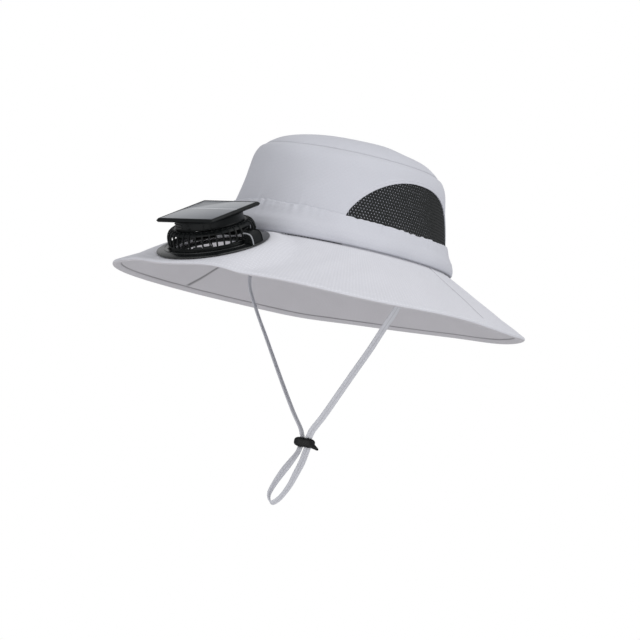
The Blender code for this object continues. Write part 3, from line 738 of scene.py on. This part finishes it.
def make_vent(name, side, node):
    """Knitted net as a lattice of six-sided holes, bent to the crown's wall."""
    high_step = NET_PITCH * math.sqrt(3) / 2
    edge = NET_PITCH / math.sqrt(3)
    verts, faces, uv = [], [], []
    across = int(math.radians(VENT_SPAN + 1.5) * NET_RADIUS / NET_PITCH) + 2
    rows = int(NET_HEIGHT / high_step) + 4
    corner = [(math.sin(math.radians(60 * k)), math.cos(math.radians(60 * k))) for k in range(6)]

    def bend(s, z, inset):
        angle = side * (VENT_CENTRE + math.degrees(s / NET_RADIUS))
        share = float(side_share(np.array(max(z, 1.1 * MM))))
        return ring(np.array(angle), share, z, -inset)

    for r in range(rows):
        zc = BAND - BAND_DIP - 4 * MM + r * high_step
        for c in range(-across, across + 1):
            sc = c * NET_PITCH + (NET_PITCH / 2 if r % 2 else 0.0)
            off = math.degrees(abs(sc) / NET_RADIUS)
            if off > VENT_SPAN + 0.8:
                continue
            inside = VENT_CENTRE + math.copysign(min(off, VENT_SPAN - 0.01), sc)
            if zc > float(vent_line(np.array(inside))) + 1.2 * MM:
                continue
            base = len(verts)
            for inset in NET_INSETS:
                for size in (1.0, NET_HOLE):
                    for x, y in corner:
                        s, z = sc + x * edge * size, zc + y * edge * size
                        lift = 0.0 if size == 1.0 else NET_ROUND
                        verts.append(bend(s, z, inset + (lift if inset == NET_INSETS[0] else -lift)))
                        uv.append((s, z))
            for k in range(6):
                m = (k + 1) % 6
                faces.append((base + k, base + m, base + 6 + m, base + 6 + k))
                faces.append((base + 12 + k, base + 18 + k, base + 18 + m, base + 12 + m))
                faces.append((base + 6 + k, base + 6 + m, base + 18 + m, base + 18 + k))
    make(name, verts, faces, YARN, nodes=[node], uv=uv)


make_crown_side()
make_crown_top()
make_band()
make_vent("vent_net_left", 1.0, "vent_mesh_left")
make_vent("vent_net_right", -1.0, "vent_mesh_right")


# Brim
# Reach of its edge, drop of its edge, and tuck at the root, wall and hem
BRIM_HALF, BRIM_FRONT, BRIM_BACK = 151.0 * MM, 191.5 * MM, 179.5 * MM
DROP, FRONT_DROP, SIDE_DROP = 39.4 * MM, 3.8 * MM, 1.3 * MM
TUCK, BRIM_WALL, HEM, HEM_EXTRA = 2.0 * MM, 2.4 * MM, 6.5 * MM, 0.7 * MM
AIR_HOLE = 33.5 * MM

# The fan's tilt and foot, and the flat round it that blends into the slope
TILT = math.atan2(DROP + FRONT_DROP - SIDE_DROP, BRIM_FRONT - HALF_LENGTH)
FLANGE, FLANGE_GAP = 44.2 * MM, 2.0 * MM
FAN_REACH = HALF_LENGTH + FLANGE_GAP + FLANGE * math.cos(TILT)
FOOT = np.array([0.0, -FAN_REACH, -(FAN_REACH - HALF_LENGTH) * math.tan(TILT)])
FLAT, BLEND = FLANGE + 1.0 * MM, 67.0 * MM

# The edge hangs lower behind the wearer's right ear: depth, angle and spread
FAR_SAG, FAR_SAG_AT, FAR_SAG_WIDE = 2.4 * MM, 231.0, 15.0

# The edge reaches out further at the front left: share, angle and spread
REACH_MORE, REACH_AT, REACH_WIDE = 0.018, 314.0, 18.0

# The fan's seat leans a little, in degrees, about the line to the camera and across it
LEAN_TURN, LEAN_NOD = 2.3, -2.0
LEAN = np.array(Matrix.Rotation(math.radians(LEAN_TURN), 3, toward)
                @ Matrix.Rotation(math.radians(LEAN_NOD), 3, right))
SEAT = LEAN @ np.array([0.0, -math.sin(TILT), math.cos(TILT)])


def brim_grid(angle, share):
    """Upper face of the brim over arrays of angles and shares of the slope.

    It also gives the slope's length and the distance from the fan's axis.
    """
    turn = np.radians(angle)
    reach = np.where(np.cos(turn) > 0, BRIM_FRONT, BRIM_BACK)
    drop = DROP + FRONT_DROP * np.cos(turn) - SIDE_DROP * np.cos(2 * turn)
    root = np.stack([(HALF_WIDTH - TUCK) * np.sin(turn), -(HALF_LENGTH - TUCK) * np.cos(turn), 0 * turn], -1)
    drop = drop + FAR_SAG * bell(angle - FAR_SAG_AT, FAR_SAG_WIDE)
    out = 1.0 + REACH_MORE * bell(angle - REACH_AT, REACH_WIDE)
    edge = np.stack([BRIM_HALF * out * np.sin(turn), -reach * out * np.cos(turn), -drop], -1)
    p = root * (1 - share)[..., None] + edge * share[..., None]
    away = np.hypot(p[..., 0] - FOOT[0], (p[..., 1] - FOOT[1]) / math.cos(TILT))
    flat = ease((BLEND - away) / (BLEND - FLAT)) * ease(share / 0.12)
    plane = FOOT[2] - ((p[..., 0] - FOOT[0]) * SEAT[0] + (p[..., 1] - FOOT[1]) * SEAT[1]) / SEAT[2]
    p[..., 2] = p[..., 2] * (1 - flat) + plane * flat
    length = np.linalg.norm(edge - root, axis=-1)
    return p, length, away


def make_brim():
    around = list(np.arange(400) * 0.9)
    beside = np.array((0.16, 0.33, 0.5, 0.7, 0.95, 1.25, 1.6))
    for at in SIDE_SEAMS:
        around += [*(at - beside), at, *(at + beside)]
    angle = np.array(sorted(set(np.round(around, 4))))
    t = np.linspace(0.0, 1.0, 66)
    t = 1 - (1 - t) ** 1.5
    a, s = np.meshgrid(angle, t)
    top, length, away = brim_grid(a, s)
    down = -normals_of(top)
    down = down * -np.sign(down[..., 2:3])
    free = 1 - ease((62 * MM - away) / (14 * MM))
    to_edge = (1 - s) * length
    billow = 0.8 * MM * ripple(a, 41, 6, 3, 9) * s**2 * free
    crease = 0.30 * MM * ripple(a + s * 25, 44, 9, 14, 34) * np.sin(np.pi * s) * free
    top = top + down * -(billow + crease)[..., None]
    hem = 1 - ease((to_edge - HEM) / (0.7 * MM))
    line = bell(to_edge - HEM - 0.35 * MM, 0.55 * MM)
    full = BRIM_WALL + HEM_EXTRA * hem - 0.35 * MM * line
    curl = 1.6 * MM
    close = np.clip(1 - to_edge / curl, 0, 1)
    pinch = (1 - np.sqrt(1 - close**2)) * (BRIM_WALL + HEM_EXTRA) / 2
    dent = 0.22 * MM * bell(to_edge - HEM, 0.7 * MM)
    seam = np.zeros_like(s)
    for at in SIDE_SEAMS:
        across = np.radians(wrapped(a - at)) * np.hypot(top[..., 0], top[..., 1])
        reach = ease((to_edge - HEM - 2.5 * MM) / (2.0 * MM))
        groove = 0.42 * MM * bell(across, 0.75 * MM)
        fold = 0.12 * MM * bell(across - 2.4 * MM, 1.3 * MM)
        seam = seam + reach * (groove - fold)
    outer = top + down * (pinch + dent + seam)[..., None]
    inner = top + down * np.maximum(full - pinch - 0.8 * seam, pinch + 0.02 * MM)[..., None]
    centre = (away[:-1] + away[1:] + np.roll(away[:-1], -1, 1) + np.roll(away[1:], -1, 1)) / 4
    places = np.stack([np.radians(a) * BRIM_TURN, to_edge], -1)
    make_cloth("brim_cloth", "brim", outer, inner, places, [BRIM_TOP, UNDER], keep=centre > AIR_HOLE)


make_brim()


# Fan unit
COS, SIN = math.cos(TILT), math.sin(TILT)
FAN_ASIDE, FAN_ALONG = 1.1 * MM, -0.3 * MM


def on_fan(points, lean=True):
    """World points from points on the fan's own axis, in metres, leaning or not."""
    p = np.asarray(points, float)
    x, y, z = p[..., 0], p[..., 1], p[..., 2]
    if lean:
        x, y = x + FAN_ASIDE, y + FAN_ALONG
    world = np.stack([x, y * COS - z * SIN, y * SIN + z * COS], -1)
    return FOOT + (world @ LEAN.T if lean else world)


def round_corners(profile, radius):
    """Rounds each corner of a closed profile of (radius, height) in mm."""
    p = np.array(profile, float)
    made = []
    for i in range(len(p)):
        a, b, c = p[i - 1], p[i], p[(i + 1) % len(p)]
        u, v = a - b, c - b
        lu, lv = np.linalg.norm(u), np.linalg.norm(v)
        cut = min(radius, lu * 0.45, lv * 0.45)
        start, end = b + u / lu * cut, b + v / lv * cut
        for t in np.linspace(0.0, 1.0, 5):
            made.append((1 - t) ** 2 * start + 2 * t * (1 - t) * b + t**2 * end)
    return np.array(made)


def turned(profile, count, radius):
    """Vertices and faces of a turned ring, on the fan's axis, in metres."""
    loop = round_corners(profile, radius) * MM
    rows = len(loop)
    turn = np.arange(count) * 2 * math.pi / count
    grid = np.empty((rows, count, 3))
    grid[..., 0] = loop[:, :1] * np.cos(turn)
    grid[..., 1] = loop[:, :1] * np.sin(turn)
    grid[..., 2] = loop[:, 1:]
    faces = []
    for r in range(rows):
        s = (r + 1) % rows
        for c in range(count):
            d = (c + 1) % count
            faces.append((r * count + c, r * count + d, s * count + d, s * count + c))
    return grid.reshape(-1, 3), faces


def box(low, high, radius):
    """Vertices and faces of a box with bevelled edges, given in mm."""
    work = bmesh.new()
    bmesh.ops.create_cube(work, size=1.0)
    low, high = np.array(low, float), np.array(high, float)
    for v in work.verts:
        v.co = Vector((low + high) / 2 + np.array(v.co) * (high - low))
    bmesh.ops.bevel(work, geom=work.edges[:], offset=radius, segments=3, profile=0.5, affect="EDGES")
    work.verts.index_update()
    verts = np.array([v.co[:] for v in work.verts]) * MM
    faces = [[v.index for v in f.verts] for f in work.faces]
    work.free()
    return verts, faces


def spun(verts, angle):
    """The same vertices, turned by degrees about the fan's axis."""
    turn = math.radians(angle)
    out = np.array(verts, float)
    out[:, 0] = verts[:, 0] * math.cos(turn) - verts[:, 1] * math.sin(turn)
    out[:, 1] = verts[:, 0] * math.sin(turn) + verts[:, 1] * math.cos(turn)
    return out


def spun_box(low, high, radius, angle):
    verts, faces = box(low, high, radius)
    return spun(verts, angle), faces


def slat(angle, route, width, thick):
    """A curved slat in the plane through the axis, bevelled in section."""
    route = np.array(route, float)
    fine = []
    for i in range(len(route) - 1):
        p0 = route[max(i - 1, 0)]
        p1, p2 = route[i], route[i + 1]
        p3 = route[min(i + 2, len(route) - 1)]
        for t in np.linspace(0, 1, 6, endpoint=False):
            fine.append(curve_point(p0, p1, p2, p3, t))
    fine.append(route[-1])
    fine = np.array(fine)
    tangent = tangents(fine)
    sections = []
    cut = 0.28
    w, h = width / 2, thick / 2
    outline = ((-w, -h), (w, -h), (w, h - cut), (w - cut, h), (-w + cut, h), (-w, h - cut))
    for point, along in zip(fine, tangent):
        out = np.array([along[1], -along[0]])
        section = []
        for side, lift in outline:
            r = point[0] + out[0] * lift
            z = point[1] + out[1] * lift
            section.append((r, side, z))
        sections.append(np.array(section) * MM)
    return spun(np.concatenate(sections), angle), bar_faces(len(sections), len(outline))


def face_count(parts):
    return sum(len(part_faces) for _, part_faces in parts)


def fan_piece(name, parts, look, nodes, body="hat", sharp=40, which=None):
    """A piece of the fan from joined parts; what rides on the rotor stays on the joint's axis."""
    verts, faces = joined(parts)
    place = on_fan(verts, lean=body == "hat")
    return make(name, place, faces, look, body=body, nodes=nodes, sharp=sharp, which=which)


# Heights on the fan's axis in mm, as the solids have them
NECK_FOOT, NECK_TOP = 17.4, 23.6
PANEL_FOOT, PANEL_TOP = 23.9, 27.3
ROTOR_FOOT, ROTOR_TOP = 8.9, 14.1

# The neck's radius in mm, and the port's place in degrees from the wearer's left
NECK_SIZE, PORT_ANGLE = 27.0, 8.0


def make_flange():
    """Round plate on the brim with a thin rim and a fine bead."""
    rim = FLANGE / MM
    plate = turned(((31.2, 0.4), (rim - 1.2, 0.4), (rim - 0.1, 0.7), (rim - 0.05, 1.2), (rim - 0.9, 1.7),
                    (41.0, 2.3), (36.8, 3.1), (31.2, 3.1)), 240, 0.4)
    bead = turned(((37.3, 2.4), (38.2, 2.4), (38.1, 3.2), (37.4, 3.3)), 240, 0.2)
    fan_piece("flange_plate", [plate, bead], GLOSSY, ["fan_flange"])


# Slats: how many, (radius, height) along one in mm, width and thickness, and the gap for the port
SLATS = 38
SLAT_ROUTE = ((33.4, 5.2), (33.7, 7.6), (33.7, 10.2), (33.2, 13.0), (31.8, 15.2), (29.8, 16.3), (28.4, 16.6))
SLAT_WIDTH, SLAT_THICK, PORT_GAP = 1.15, 1.5, 9.0

# Notches of the top ring, and the angles of the foot's latch and clips
NOTCHES, LATCH_ANGLE, CLIP_ANGLES = 46, 238.0, (291.0, 304.0)


def make_cage():
    """Foot ring with a latch and clips, thin slats over a round shoulder, and a notched top ring."""
    parts = []
    parts.append(turned(((31.4, 2.6), (34.35, 2.6), (34.45, 3.8), (34.2, 4.4), (34.4, 4.9), (34.0, 5.5),
                         (32.6, 5.5), (31.4, 4.4)), 228, 0.25))
    parts.append(turned(((25.0, 15.3), (29.8, 15.1), (31.6, 14.0), (32.5, 14.1), (32.1, 15.2), (30.6, 16.2),
                         (28.6, 16.7), (28.4, 17.0), (25.0, 17.0)), 228, 0.2))
    for n in range(SLATS):
        angle = 360.0 * (n + 0.5) / SLATS
        if abs(wrapped(angle - PORT_ANGLE)) < PORT_GAP:
            continue
        parts.append(slat(angle, SLAT_ROUTE, SLAT_WIDTH, SLAT_THICK))
    for n in range(NOTCHES):
        parts.append(spun_box((27.6, -0.95, 16.1), (29.9, 0.95, 17.05), 0.25, 360.0 * n / NOTCHES))
    parts.append(spun_box((33.6, -1.8, 3.7), (36.2, 1.8, 5.0), 0.4, LATCH_ANGLE))
    for angle in CLIP_ANGLES:
        parts.append(spun_box((33.9, -3.6, 3.9), (34.75, 3.6, 6.9), 0.3, angle))
    fan_piece("cage_slatted", parts, BLACK, ["fan_cage"])


# Outline of the port's side in mm, out from the axis and height, and its two sides across
PORT_OUTLINE = (
    (42.5, 1.9), (42.5, 4.4), (42.2, 6.6), (41.5, 8.6), (40.2, 9.9), (38.4, 10.6), (36.4, 10.9), (34.6, 11.0),
)
PORT_SIDES = (-8.1, 4.6)


def make_port():
    """Raised housing of the lead's socket: a rounded block, ribs on its side and a lip in a light grey
    plastic as a painted highlight.
    """
    parts = []
    walls = []
    for y in PORT_SIDES:
        walls.append([(x - 0.2, y, z - 0.2) for x, z in PORT_OUTLINE] + [(34.4, y, 1.7), (42.1, y, 1.7)])
    count = len(walls[0])
    verts = np.array(walls[0] + walls[1]) * MM
    faces = [tuple(range(count)), tuple(range(count, 2 * count))[::-1]]
    faces += [(k, (k + 1) % count, count + (k + 1) % count, count + k)[::-1] for k in range(count)]
    parts.append((verts, faces))
    for z in (3.4, 5.2, 7.0, 8.8):
        parts.append(box((34.9, -8.9, z), (41.4, -7.9, z + 0.7), 0.2))
    parts.append(box((36.9, -8.8, 2.0), (37.9, -7.9, 10.2), 0.2))
    lip_from = face_count(parts)
    parts.append(tube([(x, -8.8, z) for x, z in PORT_OUTLINE], 0.5))
    lip_to = face_count(parts)
    parts.append(tube([(x, PORT_SIDES[1], z) for x, z in PORT_OUTLINE], 0.35))
    # Painted highlight: the lip takes the light grey plastic, so it reads as a lit rim
    which = [1 if lip_from <= k < lip_to else 0 for k in range(face_count(parts))]
    parts = [(spun(v, PORT_ANGLE), f) for v, f in parts]
    fan_piece("port_housing", parts, [BLACK, LIP_HIGHLIGHT], ["fan_port_housing"], which=which)


# Angles on the neck: where the rows of ribs start, their pitch, the button and the seams
RIBS, RIBS_FROM, RIBS_PITCH = 26, 226.0, 1.2
BUTTON_ANGLE, NECK_SEAMS = 274.0, (300.0, 312.0)


def make_neck():
    """Low drum with two rows of ribs in a lighter plastic as a painted highlight, a round button and upright
    seams.
    """
    low, high, size = NECK_FOOT + 0.05, NECK_TOP + 0.7, NECK_SIZE
    parts = [turned(((0.5, low), (size - 0.1, low), (size - 0.05, low + 0.7), (size - 0.5, low + 1.0),
                     (size - 0.5, high - 1.0), (size, high - 0.5), (size, high), (0.5, high)), 216, 0.2)]
    ribs_from = face_count(parts)
    for z in (low + 2.1, low + 4.2):
        for n in range(RIBS):
            low_corner, high_corner = (size - 0.9, -0.42, z - 0.3), (size + 0.1, 0.42, z + 0.3)
            parts.append(spun_box(low_corner, high_corner, 0.12, RIBS_FROM + n * RIBS_PITCH))
    ribs_to = face_count(parts)
    sides = 32
    for radius, deep in ((2.2, 0.25), (1.45, 0.6)):
        rings = ((0.05, deep), (radius * 0.82, deep), (radius, deep - 0.25), (radius, -0.3))
        disc = []
        for r, h in rings:
            for c in range(sides):
                t = 2 * math.pi * c / sides
                disc.append((size - 0.5 + h, r * math.cos(t), low + 3.1 + r * math.sin(t)))
        parts.append((spun(np.array(disc) * MM, BUTTON_ANGLE), bar_faces(len(rings), sides)))
    for angle in NECK_SEAMS:
        parts.append(spun_box((size - 0.9, -0.5, low + 0.7), (size, 0.5, high - 0.4), 0.2, angle))
    # Painted highlight: the ribs take the lighter rib plastic
    which = [1 if ribs_from <= k < ribs_to else 0 for k in range(face_count(parts))]
    fan_piece("neck_drum", parts, [BLACK, RIB_HIGHLIGHT], ["fan_neck"], which=which)


# Panel in mm: half sizes, border, and how much higher than its solid it lies
PANEL_HALF, PANEL_BORDER, PANEL_LIFT = (28.75, 29.25), 2.4, 0.6


def make_panel():
    """Thin frame with a sloping rim, and the cell's film in its tray."""
    low, high = PANEL_FOOT + PANEL_LIFT, PANEL_TOP + PANEL_LIFT
    w, d, border = *PANEL_HALF, PANEL_BORDER
    rings = ((2.2, low), (0.9, low + 0.35), (0.1, low + 1.3), (0.0, low + 1.75), (0.12, low + 2.1),
             (1.5, high - 0.1), (1.8, high), (border, high), (border + 0.2, high - 0.25),
             (border + 0.25, high - 1.0))
    verts = []
    steps = 6
    around = 4 * (steps + 1)
    for inset, z in rings:
        a, b = w - inset, d - inset
        radius = max(0.3, 1.5 - inset * 0.6)
        for q, (sx, sy) in enumerate(((1, 1), (-1, 1), (-1, -1), (1, -1))):
            for k in range(steps + 1):
                t = math.radians(90 * q + 90 * k / steps)
                x = sx * (a - radius) + radius * math.cos(t)
                y = sy * (b - radius) + radius * math.sin(t)
                verts.append((x, y, z))
    frame_part = (np.array(verts) * MM, bar_faces(len(rings), around))
    fan_piece("panel_frame", [frame_part], BLACK, ["solar_panel_frame"], sharp=22)
    a, b = w - border - 0.25, d - border - 0.25
    cell_verts, cell_faces = box((-a, -b, high - 0.95), (a, b, high - 0.12), 0.25)
    make("solar_cell_film", on_fan(cell_verts), cell_faces, CELL, nodes=["solar_cell"],
         uv=cell_verts[:, :2], sharp=30)


# Rotor in mm: height of the blades' middle, radii of hub and blade tips
BLADES, BLADE_MIDDLE, HUB_RADIUS, TIP_RADIUS = 5, 11.9, 9.4, 29.4


def make_rotor():
    """Hub with a domed edge and swept, twisted blades."""
    low, high = ROTOR_FOOT + 0.1, ROTOR_TOP - 0.1
    middle, hub, tip = BLADE_MIDDLE, HUB_RADIUS, TIP_RADIUS
    parts = [turned(((0.4, low), (4.0, low), (5.0, low + 1.0), (hub - 0.6, low + 1.6), (hub, low + 2.3),
                     (hub, high - 0.8), (hub - 0.9, high), (0.4, high)), 96, 0.4)]
    for n in range(BLADES):
        rows, cols = 16, 14
        upper, lower = [], []
        for i in range(rows):
            out = i / (rows - 1)
            r = hub * 0.9 + (tip - hub * 0.9) * out
            span = math.radians(50.0 - 12.0 * out)
            lead = math.radians(14.0 * out)
            height = 2.3 - 0.4 * out
            row_up, row_low = [], []
            for k in range(cols):
                t = k / (cols - 1)
                phi = lead + span * (t - 0.5)
                z = middle + height * (t - 0.5) + 0.31 * math.sin(math.pi * t)
                h = 0.28 * math.sqrt(max(0.0, 1 - (2 * t - 1) ** 4)) + 0.12
                row_up.append((r * math.cos(phi), r * math.sin(phi), z + h))
                row_low.append((r * math.cos(phi), r * math.sin(phi), z - h))
            upper.append(row_up)
            lower.append(row_low)
        verts, faces, _, _ = shell(np.array(upper) * MM, np.array(lower) * MM, wrap=False)
        parts.append((spun(verts, 360.0 * n / BLADES), faces))
    fan_piece("rotor_blades", parts, ROTOR, ["fan_rotor"], body="rotor")


SPOKES, MOTOR_ARMS = 8, 6


def make_guard():
    """Outer ring, small inner ring and slim spokes under the brim, which clamp the fan to it."""
    outer = ((31.2, -5.2), (39.6, -5.2), (39.9, -4.6), (39.4, -3.2), (30.8, -3.2), (30.7, -4.6))
    inner = ((8.0, -4.7), (9.2, -4.7), (9.2, -3.7), (8.0, -3.7))
    parts = [turned(outer, 216, 0.4), turned(inner, 144, 0.25)]
    for n in range(SPOKES):
        parts.append(spun_box((8.0, -0.5, -4.7), (31.4, 0.5, -4.0), 0.2, 360.0 * n / SPOKES))
    fan_piece("guard_spokes", parts, BLACK, ["fan_guard"])


def make_motor():
    """Flat motor can under the neck, held by thin arms."""
    low, high = ROTOR_TOP + 0.65, NECK_FOOT - 0.35
    parts = [turned(((0.4, low), (10.6, low), (10.9, low + 0.5), (10.9, high), (0.4, high)), 96, 0.25)]
    for n in range(MOTOR_ARMS):
        angle = 360.0 * n / MOTOR_ARMS + 15.0
        parts.append(spun_box((10.2, -0.7, high - 1.3), (24.6, 0.7, high), 0.25, angle))
    fan_piece("motor_can", parts, BLACK, ["fan_motor"])


make_flange()
make_cage()
make_port()
make_neck()
make_panel()
make_rotor()
make_guard()
make_motor()


# Light and floor
# Softboxes: name, place, side of the square in metres, power in watts, and what it aims at
SOFTBOXES = (
    ("key_right", (1.55, 0.20, 1.25), 1.3, 17.0, (0.02, -0.02, -0.02)),
    ("fill_front", (0.4, -2.0, 0.5), 1.6, 8.0, (0.0, 0.0, 0.0)),
    ("back_sheen", (-1.35, 1.15, 1.15), 1.1, 1.0, (0.0, -0.1, 0.0)),
    ("top_soft", (0.35, -0.15, 1.7), 1.4, 5.5, (0.0, 0.0, 0.0)),
    ("low_bounce", (0.2, -0.6, -0.58), 1.6, 4.5, (0.0, 0.0, 0.0)),
)
FLOOR_HALF, FLOOR_HEIGHT = 6, -0.60


def area_light(name, at, side, power, aim):
    light = bpy.data.lights.new(name, "AREA")
    light.shape = "RECTANGLE"
    light.size = side
    light.size_y = side
    light.energy = power
    holder = bpy.data.objects.new(name, light)
    bpy.context.scene.collection.objects.link(holder)
    holder.location = at
    holder.rotation_euler = (Vector(aim) - Vector(at)).to_track_quat("-Z", "Y").to_euler()


def make_floor():
    mesh = bpy.data.meshes.new("floor")
    low, high, z = -FLOOR_HALF, FLOOR_HALF, FLOOR_HEIGHT
    mesh.from_pydata([(low, low, z), (high, low, z), (high, high, z), (low, high, z)], [], [(0, 1, 2, 3)])
    made, tree, shader = new_material("floor_pale")
    cloud = noise(tree, coordinates(tree, "Object"), 3.0, 2.0)
    tone = ramp(tree, cloud, ((0.3, (0.93, 0.93, 0.93)), (0.7, (0.97, 0.97, 0.97))))
    link(tree, tone, shader.inputs["Base Color"])
    shader.inputs["Roughness"].default_value = 0.9
    mesh.materials.append(made)
    floor = bpy.data.objects.new("floor", mesh)
    bpy.context.scene.collection.objects.link(floor)


def make_world():
    """White behind the hat, and a dimmer studio for light and reflections."""
    world = bpy.data.worlds.new("studio")
    bpy.context.scene.world = world
    world.use_nodes = True
    tree = world.node_tree
    dim = tree.nodes["Background"]
    fill(dim, Color=(0.97, 0.98, 1.0, 1.0), Strength=0.45)
    white = tree.nodes.new("ShaderNodeBackground")
    white.inputs["Color"].default_value = (1.0, 1.0, 1.0, 1.0)
    seen = tree.nodes.new("ShaderNodeLightPath").outputs["Is Camera Ray"]
    mix = tree.nodes.new("ShaderNodeMixShader")
    link(tree, seen, mix.inputs[0])
    link(tree, dim.outputs[0], mix.inputs[1])
    link(tree, white.outputs[0], mix.inputs[2])
    link(tree, mix.outputs[0], tree.nodes["World Output"].inputs["Surface"])


make_floor()
make_world()
for softbox in SOFTBOXES:
    area_light(*softbox)
bpy.context.scene.view_settings.view_transform = "Standard"
